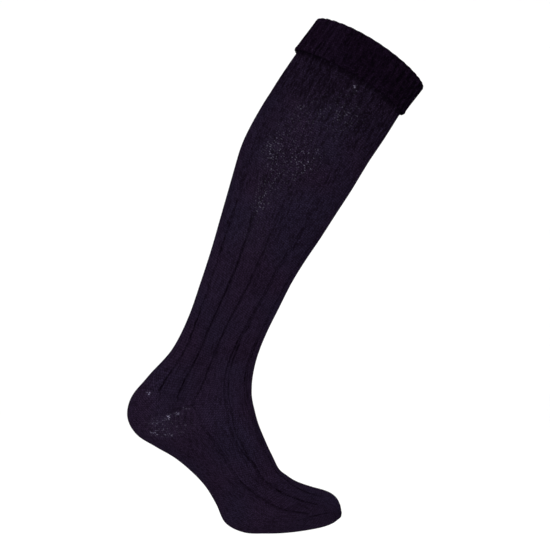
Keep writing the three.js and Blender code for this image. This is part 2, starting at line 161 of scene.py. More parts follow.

# Painted shade: how much darker the yarn is drawn by station, darker under the cuff and darkest
# over the calf, where the light from above falls strongest, and lighter over the shin, the ankle
# and the toe. Then the painted shade over the narrow ribs, which also face the light from above,
# the share of a valley's painted shade that theirs have, the painted shadow under the hem, the
# painted shade on the cuff's side and front, and how much paler streaks on the cuff's back are.
STATION_PAINTED_SHADE = (
    (0, 0.2), (3, 0.42), (6, 0.25), (8, -0.05), (10, -0.25), (14, -0.2), (17, 0.05), (20, 0.05),
    (26, -0.15),
)
NARROW_PAINTED_SHADE, NARROW_VALLEY_SHARE, HEM_PAINTED_SHADOW, CUFF_SHADE, CUFF_STREAKS = 0.6, 0.6, 0.9, 0.4, 0.5

# Lint, by where it lies on either side of the sock and how far it spreads down and round
LINT_COLUMNS = ("station", "angle", "tall", "wide", "thickness")
LINT = (
    (4.35, -36, 0.55, 11, 0.33),
    (4.75, -42, 0.30, 8, 0.25),
    (3.95, 3, 0.40, 6, 0.42),
    (4.35, -5, 0.45, 9, 0.28),
    (4.10, -18, 1.30, 38, 0.3),
    (6.45, -27, 0.55, 10, 0.6),
    (5.50, -22, 0.90, 24, 0.3),
    (1.90, 5, 1.10, 45, 0.14),
    (2.35, 6, 0.45, 16, 0.4),
    (2.80, -28, 0.50, 14, 0.3),
    (1.40, 3, 0.14, 3, 1.1),
    (7.60, -20, 0.80, 26, 0.3),
    (13.60, -67, 0.10, 3, 0.8),
    (14.62, -22, 0.13, 6, 1.0),
    (14.85, -35, 0.16, 4, 1.1),
    (14.30, -9, 0.12, 6, 0.6),
    (15.15, -52, 0.22, 6, 0.6),
    (15.90, -54, 0.22, 6, 0.65),
    (16.12, -40, 0.15, 9, 0.4),
    (15.45, -32, 0.80, 24, 0.42),
)
LINT_EVERYWHERE, LINT_MOST = 0.08, 1.2


def direction(angle, forward):
    """The unit vector down the leg (or foot) at an angle, or square to it towards the front."""
    s, c = np.sin(np.radians(angle)), np.cos(np.radians(angle))
    return np.array([c, 0.0, -s]) if forward else np.array([-s, 0.0, -c])


ANKLE = direction(LEG_LEAN, False) * LEG_LENGTH
LEG_AXES = (direction(LEG_LEAN, False), direction(LEG_LEAN, True))
FOOT_AXES = (direction(FOOT_DROP, True), -direction(FOOT_DROP, False))


def placed(rows, start, axes, length, depth, first):
    """Outline points: start + along * length on the first axis + across * depth on the second."""
    shares = np.array(rows)[:, first:first + 2] * (length, depth)
    return start + shares @ np.array(axes)


BACK, FRONT = (
    np.vstack([
        placed(LEG_SECTIONS, np.zeros(3), LEG_AXES, LEG_LENGTH, CALF_DEPTH, first),
        placed(FOOT_SECTIONS, ANKLE, FOOT_AXES, FOOT_LENGTH, FOOT_DEPTH, first),
    ])
    for first in (0, 2)
)
FORM = np.vstack([
    np.array(LEG_SECTIONS)[:, 4:] * (CALF_WIDTH, *[1] * 7),
    np.array(FOOT_SECTIONS)[:, 4:] * (FOOT_WIDTH, *[1] * 7),
])


def smooth_line(points, station, spread):
    """A Catmull-Rom curve through the rows of points. Where spread is above 0 its knots are spaced by
    the distance between points to the power of twice spread, and at 0 they are spaced evenly."""
    station = np.asarray(station, float)
    index = np.clip(np.floor(station).astype(int), 0, len(points) - 2)
    part = (station - index)[..., None]
    ends = np.vstack([2 * points[0] - points[1], points, 2 * points[-1] - points[-2]])
    before, start, end, after = (ends[index + step] for step in range(4))

    def knot(a, b):
        return np.sum((b - a) ** 2, -1, keepdims=True) ** spread

    first, middle, last = knot(before, start), knot(start, end), knot(end, after)
    slope = (end - start) / middle
    leave = ((start - before) / first - (end - before) / (first + middle) + slope) * middle
    arrive = (slope - (after - start) / (middle + last) + (after - end) / last) * middle
    square = -3 * start + 3 * end - 2 * leave - arrive
    cube = 2 * start - 2 * end + leave + arrive
    return start + leave * part + square * part**2 + cube * part**3


def soft_step(x):
    """0 below 0, 1 above 1, and 3x^2 - 2x^3 between."""
    x = np.clip(x, 0, 1)
    return x * x * (3 - 2 * x)


def bell(x, reach):
    """1 where x is 0, falling to both sides as exp(-(x / reach)^2)."""
    return np.exp(-((x / reach) ** 2))


def sine(angle):
    """The sine of an angle in degrees."""
    return np.sin(np.radians(angle))


def side_angle(angle):
    """From -90 at the middle of the back to 90 at the middle of the front, on either side."""
    return np.degrees(np.arcsin(sine(angle)))


def carried(angle, groove):
    """How much of a groove's drift the stitches at an angle share: all of it at the groove, none at
    the other grooves and at the middle of the front and back. It is a sum of as many sines as there
    are grooves on a side, mirrored on the far side."""
    waves = range(1, len(GROOVE_ANGLES) + 1)
    at, of = np.radians(np.asarray(angle) + 90), np.radians(groove + 90)
    return sum(np.sin(wave * at) * np.sin(wave * of) for wave in waves) * 2 / (len(waves) + 1)


def skin(station, angle):
    """The smooth outer skin in mm. A ring is a rounded outline between its back and front points: the
    reach is (|sin|^n + |cos|^n)^(-1/n), the depth goes with the sine and the width with the cosine.
    Near the opening its sides rise up the leg by a bow times the squared cosine."""
    station, angle = np.broadcast_arrays(np.asarray(station, float), np.asarray(angle, float))
    station = np.clip(station, 0, LAST_STATION)
    by_distance, evenly = 0.25, 0.0
    back, front = (smooth_line(points, station, by_distance) for points in (BACK, FRONT))
    width, taper, power, *drifts = np.moveaxis(smooth_line(FORM, station, evenly), -1, 0)
    drift = sum(drift * carried(angle, groove) for drift, groove in zip(drifts, GROOVE_ANGLES))
    drifted = np.radians(angle + drift)
    s, c = np.sin(drifted), np.cos(drifted)
    reach = (np.abs(s) ** power + np.abs(c) ** power) ** (-1 / power)
    depth_share = reach * s
    point = (back + front) / 2 + (front - back) / 2 * depth_share[..., None]
    bow = OPENING_BOW * np.clip(1 - station / BOW_END, 0, 1) ** 2 * c**2
    point = point - LEG_AXES[0] * bow[..., None]
    point[..., 1] = -width * reach * c * (1 - taper * depth_share)
    return point


def directions(station, angle):
    """Unit vectors down and out of the skin, and the mm that a degree round it is long."""
    station, angle = np.broadcast_arrays(np.asarray(station, float), np.asarray(angle, float))
    half_degree = 0.5
    after = np.minimum(station + SECTION_STEP, LAST_STATION)
    before = np.maximum(station - SECTION_STEP, 0)
    down = skin(after, angle) - skin(before, angle)
    around = skin(station, angle + half_degree) - skin(station, angle - half_degree)
    degree = np.linalg.norm(around, axis=-1)
    down /= np.linalg.norm(down, axis=-1, keepdims=True)
    out = np.cross(down, around / degree[..., None])
    out /= np.linalg.norm(out, axis=-1, keepdims=True)
    return down, out, degree


def line_mean(station, angles):
    """The mean of the skin's points at a station and some angles."""
    return sum(skin(station, angle) for angle in angles) / len(angles)


def run_down(*angles):
    """Stations, and the length in mm run to each from the opening, down the mean of lines at angles."""
    station = np.arange(0, LAST_STATION + SECTION_STEP / 2, SECTION_STEP)
    steps = np.diff(line_mean(station, angles), axis=0)
    return station, np.r_[0, np.cumsum(np.linalg.norm(steps, axis=1))]


MIDDLE = (90, -90)
middle_stations, middle_run = run_down(*MIDDLE)
HEM_STATION, PANEL_STATION = np.interp((CUFF_HEIGHT, RIB_TOP_HEIGHT), middle_run, middle_stations)


def back_share(angle):
    """0 along the sides and the front, 1 at the middle of the back."""
    return np.clip(-sine(angle), 0, 1)


def heel_top(angle):
    """The heel's upper border: the corner, less a rise times the back share."""
    return HEEL_CORNER - HEEL_TOP_RISE * back_share(angle)


def heel_under(angle):
    """The heel's lower border: below the corner by the heel's height there, and by a reach times the
    back share to a power."""
    reach = HEEL_UNDER_REACH * back_share(angle) ** HEEL_UNDER_CURVE
    return HEEL_CORNER + HEEL_CORNER_SIDE + reach


def unevenness(station, angle):
    """Slow hills and hollows of a hand-pulled knit, in mm: a sum of six waves that close round. Each
    is the sine of its rounds times the angle, plus a slope times the station, plus a phase."""
    waves = np.random.default_rng(5)
    least_slope, most_slope = 0.6, 2.6
    total = 0.0
    for rounds in (1, 2, 3, 4, 6, 9):
        along, phase = waves.uniform(least_slope, most_slope), waves.uniform(0, 2 * np.pi)
        total = total + np.sin(np.radians(angle) * rounds + station * along + phase) / (1 + rounds)
    return UNEVENNESS * total


def wale_height(angle):
    """Each wale is a rounded column: the sine of half a turn a wale, to the 0.7, less 1."""
    return WALE_RELIEF * (np.abs(np.sin(np.pi * angle * WALE_COUNT / 360)) ** 0.7 - 1)


def narrow_rib_height(angle, depth):
    """Two raised wales and two sunken ones to a rib: a cosine flattened by a hyperbolic tangent."""
    flatness = 1.6
    wave = np.cos(np.radians(angle * RIB_COUNT))
    return -depth * (0.5 - 0.5 * np.tanh(flatness * wave) / np.tanh(flatness))


def groove_height(station, angle, degree):
    """Two lines -depth * exp(-((x -+ spread) / half width)^2) at each groove, and panels that swell
    between. Spread and depth change from the back groove's to the front groove's over the middle of
    the side, where the groove is a third shallower."""
    column = {
        name: np.interp(station, GROOVES[0], GROOVES[index])
        for index, name in enumerate(GROOVE_COLUMNS)
    }
    change_start, change_width, shallow_reach = -0.05, 0.4, 0.2  # as sines of the angle
    front = soft_step((sine(angle) - change_start) / change_width)
    spread = column["back_spread"] * (1 - front) + column["front_spread"] * front
    depth = column["back_depth"] * (1 - front) + column["front_depth"] * front
    depth = depth * (1 - SIDE_SHALLOWER * bell(sine(angle), shallow_reach))
    panels = angle / PANEL_PITCH
    from_groove = np.abs(panels - np.round(panels)) * PANEL_PITCH * degree
    line = bell(from_groove - spread, column["line_width"] / 2)
    return -depth * line - column["crown"] * np.exp(-from_groove / CROWN_REACH)


def above_heel(station, angle):
    """1 up the leg, and 0 from where the grooves end on the heel."""
    return soft_step((heel_top(angle) + GROOVE_REACH - station) / GROOVE_FADE)


def before_toe(station):
    """1 along the foot, and 0 from where the ribs end at the toe."""
    return soft_step((TOE_BORDER - station) / TOE_FADE)


def wide_share(station):
    """0 where the ribs are narrow, 1 where they are wide panels."""
    return soft_step((station - PANEL_STATION + WIDE_START) / WIDE_FADE)


def ribbed_height(station, angle, degree):
    """Narrow ribs above the panel border, wide panels below it, fading out at the heel and toe."""
    wide = wide_share(station)
    ribs = narrow_rib_height(angle, RIB_DEPTH) * (1 - wide)
    panels = groove_height(station, angle, degree) * wide
    least_back = 0.02
    ends_at_heel = back_share(angle) > least_back
    return (ribs + panels) * np.where(ends_at_heel, above_heel(station, angle), before_toe(station))


def toe_height(station, angle, degree):
    """Plain knit with a crease that climbs each side from the sole, where the toe's short rows turn: a
    bell across a line whose angle grows evenly with the station, faded in and out at its ends."""
    on_crease, on_crease_angle, climb, half_width = 24.7, -18, 13, 1.2
    first, fade_in, last, fade_out = 24.2, 0.7, 27.2, 0.8
    off_crease = side_angle(angle) - on_crease_angle - climb * (station - on_crease)
    ends = soft_step((station - first) / fade_in) * soft_step((last - station) / fade_out)
    return -TOE_CREASE * bell(off_crease * degree, half_width) * ends


def plain_height(station, angle, degree):
    """Plain knit: the wales show, with the start of the toe's crease, and along the sides the other
    half of the last groove, which fades as a bell away from the side."""
    half_width = 1.6
    side = groove_height(station, 0 * angle, degree)
    near = bell(side_angle(angle) * degree, half_width) * before_toe(station)
    return side * near + toe_height(station, angle, degree)


def gore_station(angle):
    """The line along which the heel's short rows turn: a little past the corner, and from there lower
    by a reach times the back share to a power."""
    past_corner, reach, curve = 0.05, 1.1, 1.5
    return HEEL_CORNER + past_corner + reach * back_share(angle) ** curve


def heel_height(station, angle, degree):
    """Plain knit under the ends of the grooves. A pucker lies along the gore as a bell across it, and
    below that a ridge of taut stitches, another bell, and slanted bars, which are the sine of
    the angle and the station under a wide bell. All three fade towards the side and the back."""
    pucker_width, ridge_below, ridge_width = 0.11, 0.27, 0.12
    bars_below, bars_width, wales_per_bar, bar_slope = 1.0, 0.8, 3, 4
    back_end, back_fade, side_fade, groove_side_fade = 0.85, 0.4, 0.06, 0.3
    back = back_share(angle)
    below = station - gore_station(angle)
    slant = np.radians(angle) * WALE_COUNT / wales_per_bar + bar_slope * station
    pucker = GORE_PUCKER * bell(below, pucker_width)
    ridge = GORE_RIDGE * bell(below - ridge_below, ridge_width)
    bars = SLANTED_BARS * np.sin(slant) * bell(below - bars_below, bars_width)
    fade = soft_step((back_end - back) / back_fade) * soft_step(back / side_fade)
    grooves = groove_height(station, angle, degree) * above_heel(station, angle)
    grooves = grooves * soft_step(back / groove_side_fade)
    plain = plain_height(station, angle, degree)
    return np.minimum(plain, grooves) + (ridge - pucker + bars) * fade


def lint_thickness(station, angle):
    """How thick the lint lies: a little everywhere, and the sum of the table's patches, each
    thickness * exp(-(x / tall)^2 - (a / wide)^2), on both sides of the sock."""
    total = LINT_EVERYWHERE
    for row in LINT:
        patch = dict(zip(LINT_COLUMNS, row))
        down = (station - patch["station"]) / patch["tall"]
        over = (side_angle(angle) - patch["angle"]) / patch["wide"]
        total = total + patch["thickness"] * np.exp(-(down**2) - over**2)
    return np.clip(total, 0, LINT_MOST)


def knit_shade(station, ribs):
    """How much painted shade darkens the yarn: in valleys, over the narrow ribs and by station, and
    a painted shadow under the hem.
    """
    past_hem, hem_shadow_reach = 0.04, 0.11
    wide = wide_share(station)
    # Painted shade in the valleys
    valleys = np.clip(-ribs / VALLEY_DEPTH, 0, 1)
    valleys = valleys * (NARROW_VALLEY_SHARE + (1 - NARROW_VALLEY_SHARE) * wide)
    # Painted shade by station, strongest over the calf where the light from above falls
    painted_by_station = np.interp(station, *zip(*STATION_PAINTED_SHADE))
    # A painted shadow under the hem
    hem_painted_shadow = HEM_PAINTED_SHADOW * bell(station - HEM_STATION - past_hem, hem_shadow_reach)
    # Painted shade over the narrow ribs, which face the light from above, is added as well
    return valleys + NARROW_PAINTED_SHADE * (1 - wide) + painted_by_station + hem_painted_shadow


def zipped(fine, coarse):
    """Triangles between a fine and a coarse line of point numbers, with several fine steps to each
    coarse one."""
    ratio = (len(fine) - 1) // (len(coarse) - 1)
    first = np.arange(len(coarse) - 1)
    start, half = first * ratio, ratio // 2
    found = [
        np.stack([fine[start + step], fine[start + step + 1], coarse[first + (step >= half)]], 1)
        for step in range(ratio)
    ]
    found.append(np.stack([fine[start + half], coarse[first + 1], coarse[first]], 1))
    return np.vstack(found)


def quads(numbers):
    """Four point numbers for each cell of a grid of point numbers, facing along down times round."""
    cells = [numbers[:-1, :-1], numbers[1:, :-1], numbers[1:, 1:], numbers[:-1, 1:]]
    return np.stack(cells, -1).reshape(-1, 4)


def fan(ring, tip):
    """Triangles from a ring of point numbers to one point."""
    return np.stack([ring[:-1], np.full(len(ring) - 1, tip), ring[1:]], 1)


# A group of faces goes to build() as three things: the point numbers, which corners lie past the seam
# where the stitch count starts again, and whether the faces are an edge that is shaded flat.


def closed_ring(numbers):
    """A grid of point numbers with its first column again at the end."""
    return np.hstack([numbers, numbers[:, :1]])


def sheet(numbers, closed, inwards=False):
    """The faces of a grid of point numbers. Where it is closed, its last column crosses the seam."""
    faces = quads(numbers)
    past_seam = np.zeros(faces.shape, bool).reshape(-1, numbers.shape[1] - 1, 4)
    past_seam[:, -1, 2:] = closed
    past_seam = past_seam.reshape(faces.shape)
    turn = -1 if inwards else 1
    return faces[:, ::turn], past_seam[:, ::turn], False


def seamless(faces, is_edge):
    """Faces that don't cross the seam."""
    return faces, np.zeros(faces.shape, bool), is_edge


def build(name, points, faces, stitches, tones, material, node):
    """Makes a piece from points in mm, groups of faces, each point's stitch coordinates, and two tones
    for each point: how thick the lint is, and how much painted shade darkens the yarn, less the
    cuff's pale streaks."""
    mesh = bpy.data.meshes.new(name)
    corners = np.concatenate([group.ravel() for group, _, _ in faces])
    sizes = np.concatenate([np.full(len(group), group.shape[1]) for group, _, _ in faces])
    mesh.vertices.add(len(points))
    mesh.vertices.foreach_set("co", (points * MM).astype(np.float32).ravel())
    mesh.loops.add(len(corners))
    mesh.loops.foreach_set("vertex_index", corners.astype(np.int32))
    mesh.polygons.add(len(sizes))
    starts = np.r_[0, np.cumsum(sizes)[:-1]]
    mesh.polygons.foreach_set("loop_start", starts.astype(np.int32))
    smooth = np.concatenate([np.full(len(group), not is_edge) for group, _, is_edge in faces])
    mesh.polygons.foreach_set("use_smooth", smooth)
    uv_map = mesh.uv_layers.new(name="stitches")
    uv = stitches[corners].copy()
    uv[:, 0] += np.concatenate([past_seam.ravel() for _, past_seam, _ in faces]) * WALE_COUNT
    uv_map.uv.foreach_set("vector", uv.astype(np.float32).ravel())
    for tone, values in zip(("lint", "shade"), tones):
        attribute = mesh.attributes.new(tone, "FLOAT", "POINT")
        attribute.data.foreach_set("value", values.astype(np.float32).ravel())
    mesh.update(calc_edges=True)
    mesh.validate(clean_customdata=False)
    mesh.materials.append(material)
    piece = bpy.data.objects.new(name, mesh)
    bpy.context.scene.collection.objects.link(piece)
    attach(piece, "root")
    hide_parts(node)
    return piece


def nose_tip(wall):
    """The outer and the inner point that close the toe, ahead of the middle of its last ring."""
    middle, before = line_mean(LAST_STATION, MIDDLE), line_mean(LAST_STATION - 1, MIDDLE)
    forward = (middle - before) / np.linalg.norm(middle - before)
    return np.stack([middle + forward * TOE_NOSE, middle + forward * (TOE_NOSE - wall)])


def knit_wall(name, node, material, borders, angles, height, wall, course_run,
              closed=True, nose=False):
    """A wall of knit between two borders. The outer side is the smooth skin moved out by its relief,
    the inner side is the skin moved in by the wall, and the edges between the two are closed."""
    share = np.linspace(0, 1, ROWS[node] + 1)[:, None]
    angle = angles[None, :]
    top, bottom = (border(angle) if callable(border) else border for border in borders)
    station = (top + 0 * angle) * (1 - share) + (bottom + 0 * angle) * share
    angle = np.broadcast_to(angle, station.shape)
    _, out, degree = directions(station, angle)
    smooth = skin(station, angle)
    ribs = height(station, angle, degree)
    relief = ribs + wale_height(angle) + unevenness(station, angle)
    outer = smooth + out * relief[..., None]
    coarse = (slice(None, None, INNER_STEP),) * 2
    inner = (smooth - out * wall)[coarse]
    stitch = np.stack([angle * WALE_COUNT / 360, course_run(station) / COURSE_HEIGHT], -1)
    tones = np.stack([lint_thickness(station, angle), knit_shade(station, ribs)])
    points = [outer.reshape(-1, 3), inner.reshape(-1, 3)]
    uv = [stitch.reshape(-1, 2), stitch[coarse].reshape(-1, 2)]
    outer_numbers = np.arange(outer.shape[0] * outer.shape[1]).reshape(outer.shape[:2])
    inner_numbers = np.arange(inner.shape[0] * inner.shape[1]).reshape(inner.shape[:2])
    inner_numbers = outer_numbers.size + inner_numbers
    count = outer_numbers.size + inner_numbers.size
    if closed:
        outer_numbers, inner_numbers = closed_ring(outer_numbers), closed_ring(inner_numbers)
    faces = [
        sheet(outer_numbers, closed),
        sheet(inner_numbers, closed, inwards=True),
        seamless(zipped(outer_numbers[0], inner_numbers[0]), True),
    ]
    if nose:
        points.append(nose_tip(wall))
        uv.append(np.tile(stitch[-1, 0] + (0, 1), (2, 1)))
        faces.append(seamless(fan(outer_numbers[-1], count), False))
        faces.append(seamless(fan(inner_numbers[-1], count + 1)[:, ::-1], False))
    else:
        faces.append(seamless(zipped(outer_numbers[-1], inner_numbers[-1])[:, ::-1], True))
    if not closed:
        faces.append(seamless(zipped(outer_numbers[:, 0], inner_numbers[:, 0])[:, ::-1], True))
        faces.append(seamless(zipped(outer_numbers[:, -1], inner_numbers[:, -1]), True))
    points = np.vstack(points)
    all_tones = np.zeros((2, len(points)))
    all_tones[:, :tones[0].size] = tones.reshape(2, -1)
    return build(name, points, faces, np.vstack(uv), all_tones, material, node)


def cuff(name, node, material, angles):
    """The leg's knit folded out and down: a hook-shaped profile carried round the opening. It rounds
    over the fold, comes down outside the leg with a clear space, and ends in a rolled hem."""
    gap_radius, hem_radius = FOLD_GAP / 2, CUFF_WALL / 2
    fold_radius = gap_radius + CUFF_WALL
    flap_rows, fold_rows, inner_rows, hem_rows, under_fold_rows = 42, 10, 8, 5, 5
    fold = np.linspace(np.pi, 0, fold_rows)
    flap = np.linspace(0, 1, flap_rows + 1)[1:-1]
    hem = np.linspace(np.pi / 2, -np.pi / 2, hem_rows)
    inner = np.linspace(1, 0, inner_rows + 1)[1:-1]
    under_fold = np.linspace(0, np.pi, under_fold_rows)
    hem_share = hem_radius / CUFF_HEIGHT
    roll_at, roll_reach = 0.955, 0.035
    roll = HEM_ROLL * bell(flap - roll_at, roll_reach)
    ribs_begin, hem_ribs, flatter, flatter_reach = 1.2, 0.7, 0.25, 0.05

    # For each stretch of the profile: how far down the cuff it lies, as a share, the height out of the
    # skin, the lift above the opening, and how much of the ribs it shows
    profile = (
        (0 * fold, gap_radius + fold_radius * np.cos(fold), fold_radius * np.sin(fold),
         soft_step((np.pi - fold) / ribs_begin)),
        (flap * (1 - hem_share), FOLD_GAP + CUFF_WALL + roll, 0 * flap,
         1 - flatter * bell(flap - 1, flatter_reach)),
        (1 - hem_share + hem_share * np.cos(hem), FOLD_GAP + hem_radius * (1 + np.sin(hem)),
         0 * hem, hem_ribs * (0.5 + 0.5 * np.sin(hem))),
        (inner * (1 - hem_share), FOLD_GAP + 0 * inner, 0 * inner, 0 * inner),
        (0 * under_fold, gap_radius + gap_radius * np.cos(under_fold),
         gap_radius * np.sin(under_fold), 0 * under_fold),
    )
    share, height, lift, ribbed = (np.concatenate(column)[:, None] for column in zip(*profile))
    station = HEM_STATION * share
    _, out, _ = directions(station, angles)
    down_opening, _, _ = directions(0.0, angles)
    ribs = narrow_rib_height(angles, CUFF_RIB_DEPTH)
    closer, shift = 2, 3  # the cuff's hills lie closer together than the leg's, and elsewhere
    uneven = unevenness(station * closer + shift, angles)
    relief = (ribs + wale_height(angles) + uneven) * ribbed
    points = skin(station, angles) + out * (height + relief)[..., None]
    points = points - down_opening * lift[..., None]
    run = np.r_[0, np.cumsum(np.linalg.norm(np.diff(points[:, 0], axis=0), axis=1))]
    stitch = np.stack(np.broadcast_arrays(
        angles * WALE_COUNT / 360, run[:, None] / COURSE_HEIGHT), -1)
    numbers = np.arange(points.shape[0] * points.shape[1]).reshape(points.shape[:2])
    numbers = closed_ring(np.vstack([numbers, numbers[:1]]))

    # The cuff's back has two pale streaks to a rib, and its side and front are painted darker all
    # over, as painted shade. Its valleys carry painted shade, faint at the side and full at the front
    # and back.
    back_start, back_fade, side_valley, streaks_per_rib = 0.3, 0.35, 0.2, 2
    to_back = soft_step((-sine(angles) - back_start) / back_fade)
    streaks = 0.5 + 0.5 * np.cos(np.radians(angles * RIB_COUNT * streaks_per_rib))
    streaks = streaks**2 * to_back
    valley = side_valley + (1 - side_valley) * sine(angles) ** 2
    valley = valley * np.clip(-ribs / VALLEY_DEPTH, 0, 1)
    shade = (valley - CUFF_STREAKS * streaks) * ribbed + CUFF_SHADE * (1 - to_back)
    tones = np.stack([CUFF_STREAKS * streaks * ribbed, shade])
    return build(name, points.reshape(-1, 3), [sheet(numbers, True)], stitch.reshape(-1, 2), tones,
                 material, node)


def linear(hex_colour):
    """An sRGB hex colour as linear red, green, blue and alpha."""
    levels = np.array([int(hex_colour[place:place + 2], 16) for place in (1, 3, 5)]) / 255
    turned = np.where(levels <= 0.04045, levels / 12.92, ((levels + 0.055) / 1.055) ** 2.4)
    return (*turned, 1.0)


def add(tree, kind, values=(), links=(), **settings):
    """Adds a node with its settings, its sockets' values and the outputs linked to its sockets."""
    made = tree.nodes.new(kind)
    for setting, value in settings.items():
        setattr(made, setting, value)
    for socket, value in dict(values).items():
        made.inputs[socket].default_value = value
    for socket, source in dict(links).items():
        tree.links.new(source, made.inputs[socket])
    return made


def worsted_wool(name, light, light_blue, gap_shade, lint, painted_shade_weight):
    """Worsted wool knit: matt, with no gloss. Each stitch is a pair of strands in a V, with a painted
    highlight on top and painted shade in the gaps, which gives the eye a fine grain in columns.
    Strands, columns and large patches differ in tone and a little in hue, purl valleys and other
    places get painted shade from the shade attribute, and pale ends of fibre lie here and there. A
    stitch is as wide as a wale and 2.3 mm tall, a little coarser than the real one, so that it shows."""
    material = bpy.data.materials.new(name)
    material.use_nodes = True
    tree = material.node_tree
    tree.nodes.clear()
    math, mix, vector = "ShaderNodeMath", "ShaderNodeMix", "ShaderNodeVectorMath"
    noise, white = "ShaderNodeTexNoise", "ShaderNodeTexWhiteNoise"
    multiply_add = {"operation": "MULTIPLY_ADD"}
    place = add(tree, "ShaderNodeUVMap", uv_map="stitches").outputs["UV"]
    body = add(tree, "ShaderNodeTexCoord").outputs["Object"]

    # Stitches sway by up to half of one, over about one stitch
    sway = add(tree, noise, {"Scale": 0.9, "Detail": 2.0}, {"Vector": place})
    sway = add(tree, vector, {1: (0.5, 0.5, 0.5)}, {0: sway.outputs["Color"]}, operation="SUBTRACT")
    moved = add(tree, vector, {1: (0.9, 0.9, 0.0)}, {0: sway.outputs[0], 2: place}, **multiply_add)
    axes = add(tree, "ShaderNodeSeparateXYZ", links={0: moved.outputs[0]})

    # The V: a strand runs 1.5 courses along the sock for each wale across. How high a point of it lies
    # is a sine over the strand's width times a sine over the length of its arm.
    across = add(tree, math, links={0: axes.outputs[0]}, operation="FRACT")
    across = add(tree, math, {1: 0.5}, {0: across.outputs[0]}, operation="SUBTRACT")
    across = add(tree, math, links={0: across.outputs[0]}, operation="ABSOLUTE")
    strand_line = add(tree, math, {1: -1.5}, {0: across.outputs[0], 2: axes.outputs[1]}, **multiply_add)
    phase = add(tree, math, links={0: strand_line.outputs[0]}, operation="FRACT")
    phase = add(tree, math, {1: np.pi}, {0: phase.outputs[0]}, operation="MULTIPLY")
    strand = add(tree, math, links={0: phase.outputs[0]}, operation="SINE")
    span = add(tree, math, {1: np.pi * 1.6, 2: 0.3}, {0: across.outputs[0]}, **multiply_add)
    span = add(tree, math, links={0: span.outputs[0]}, operation="SINE")
    height = add(tree, math, links={0: strand.outputs[0], 1: span.outputs[0]}, operation="MULTIPLY")

    # Tones that differ by strand, by column over about 14 mm of its length, by tuft and by patch
    column = add(tree, math, {1: 2.0}, {0: axes.outputs[0]}, operation="MULTIPLY")
    cell = add(tree, "ShaderNodeCombineXYZ", links={0: column.outputs[0], 1: strand_line.outputs[0]})
    cell = add(tree, vector, links={0: cell.outputs[0]}, operation="FLOOR")
    one = add(tree, white, links={"Vector": cell.outputs[0]}, noise_dimensions="2D")
    long_way = add(tree, vector, {1: (1.1, 0.16, 0.0)}, {0: place}, operation="MULTIPLY")
    streak = add(tree, noise, {"Scale": 1.0, "Detail": 2.0}, {"Vector": long_way.outputs[0]})
    tuft = add(tree, noise, {"Scale": 1 / (TUFT * MM), "Detail": 2.0}, {"Vector": body})
    patch = add(tree, noise, {"Scale": 1 / (TONE_PATCH * MM), "Detail": 3.0}, {"Vector": body})
    tone = add(tree, math, {1: 0.9, 2: -1.19}, {0: one.outputs["Value"]}, **multiply_add)
    # The shade attribute's painted shade lowers the tone
    shade = add(tree, "ShaderNodeAttribute", attribute_name="shade").outputs["Fac"]
    parts = ((streak.outputs[0], 1.5), (tuft.outputs[0], 1.2), (patch.outputs[0], 0.6))
    for source, weight in (*parts, (shade, -painted_shade_weight)):
        tone = add(tree, math, {1: weight}, {0: source, 2: tone.outputs[0]}, **multiply_add)
    # Painted light and shade: the strand's height draws its top light and its gaps in shade, times the
    # tone
    lit = add(tree, math, links={0: height.outputs[0], 1: tone.outputs[0]}, operation="MULTIPLY",
              use_clamp=True)

    # The dye: two hues that change over large patches, mixed down to the painted shade of the gaps
    hue = add(tree, noise, {"Scale": 1 / (HUE_PATCH * MM), "Detail": 1.0}, {"Vector": body})
    hue = add(tree, math, {1: 3.0, 2: -1.0}, {0: hue.outputs[0]}, use_clamp=True, **multiply_add)
    dyed = add(tree, mix, {6: linear(light), 7: linear(light_blue)}, {0: hue.outputs[0]},
               data_type="RGBA")
    yarn = add(tree, mix, {6: linear(gap_shade)}, {0: lit.outputs[0], 7: dyed.outputs[2]},
               data_type="RGBA")

    # Lint: short ends of fibre, about 1.2 by 0.9 mm, that lie on top of the knit. At thickness 1 about
    # a quarter of the places for one have it, and some are paler than others.
    thickness = add(tree, "ShaderNodeAttribute", attribute_name="lint").outputs["Fac"]
    ends = add(tree, vector, {1: (2.0, 2.6, 0.0)}, {0: moved.outputs[0]}, operation="MULTIPLY")
    ends = add(tree, vector, links={0: ends.outputs[0]}, operation="FLOOR")
    pick = add(tree, white, links={"Vector": ends.outputs[0]}, noise_dimensions="2D")
    chance = add(tree, math, {1: 0.27, 2: -1.0}, {0: thickness}, **multiply_add)
    fleck = add(tree, math, links={0: pick.outputs[0], 1: chance.outputs[0]}, operation="ADD")
    fleck = add(tree, math, {1: 4.0}, {0: fleck.outputs[0]}, operation="MULTIPLY", use_clamp=True)
    fleck = add(tree, math, {1: 2.0}, {0: fleck.outputs[0]}, operation="POWER")
    pale = add(tree, math, {1: 0.02}, {0: thickness, 2: fleck.outputs[0]}, **multiply_add)
    coloured = add(tree, mix, {7: linear(lint)}, {0: pale.outputs[0], 6: yarn.outputs[2]},
                   data_type="RGBA")

    raised = add(tree, math, {1: 0.35}, {0: tuft.outputs[0], 2: height.outputs[0]}, **multiply_add)
    bump = add(tree, "ShaderNodeBump", {"Strength": 0.8, "Distance": STRAND_RELIEF * MM},
               {"Height": raised.outputs[0]})
    shader = add(tree, "ShaderNodeBsdfPrincipled", {"Roughness": 0.95, "Specular IOR Level": 0.0},
                 {"Base Color": coloured.outputs[2], "Normal": bump.outputs[0]})
    add(tree, "ShaderNodeOutputMaterial", links={"Surface": shader.outputs[0]})
    return material


